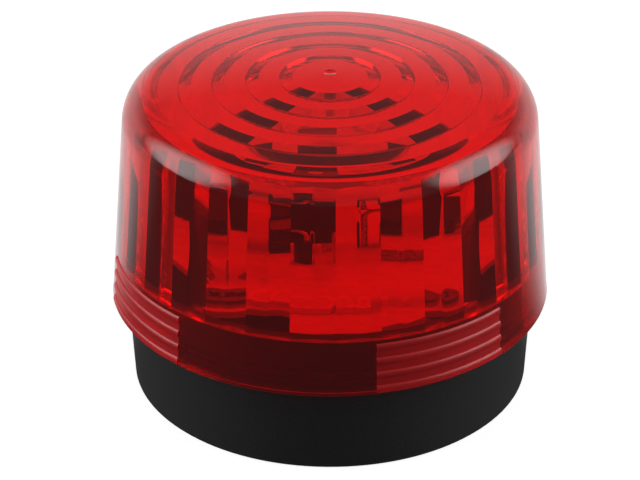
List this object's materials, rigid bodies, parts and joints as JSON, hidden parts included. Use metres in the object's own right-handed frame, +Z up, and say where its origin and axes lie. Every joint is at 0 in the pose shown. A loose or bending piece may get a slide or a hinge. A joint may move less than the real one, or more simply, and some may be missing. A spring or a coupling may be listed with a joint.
{
  "type": "led warning beacon",
  "caption": "Round warning beacon: black base with fixing holes and a cable entry, LED board, and a clear red fluted lens that twists off.",
  "frame": {"origin": "centre of the underside of the base", "axes": "+Z up along the beacon's axis; the lens grips lie on the X and Y axes"},
  "size_m": [0.1008, 0.1008, 0.0742],
  "materials": {
    "lens_red": "clear red polycarbonate, polished moulding",
    "base_black": "black ABS, satin moulding",
    "rubber_black": "moulded black rubber",
    "board_white": "glass-fibre board with white solder mask",
    "screw_steel": "zinc-plated steel",
    "housing_white": "white reflector plastic",
    "window_clear": "clear silicone filling",
    "tinned_lead": "tinned wire",
    "can_aluminium": "drawn aluminium",
    "sleeve_black": "shrunk black sleeve",
    "case_black": "moulded black epoxy",
    "tab_metal": "tinned copper tab",
    "resistor_tan": "lacquered ceramic"
  },
  "bodies": {
    "base": {"base": "base_black", "lens_seal": "rubber_black", "cable_grommet": "rubber_black", "circuit_board": "board_white", "board_screws": "screw_steel", "wire_pins": "tinned_lead", "led_housings": "housing_white", "led_windows": "window_clear", "led_contacts": "tinned_lead", "capacitor_can": "can_aluminium", "capacitor_sleeve": "sleeve_black", "capacitor_leads": "tinned_lead", "transistor_case": "case_black", "transistor_tab": "tab_metal", "transistor_leads": "tinned_lead", "driver_chips": "case_black", "driver_chip_pins": "tinned_lead", "resistors": "resistor_tan", "resistor_leads": "tinned_lead", "diodes": "case_black", "diode_leads": "tinned_lead"},
    "lens": {"lens": "lens_red"}
  },
  "joints": [
    {"name": "lens_twist", "type": "hinge", "parent": "base", "child": "lens", "pos_m": [0, 0, 0.0275], "axis": [0, 0, 1], "range_deg": [0, 30]}
  ]
}
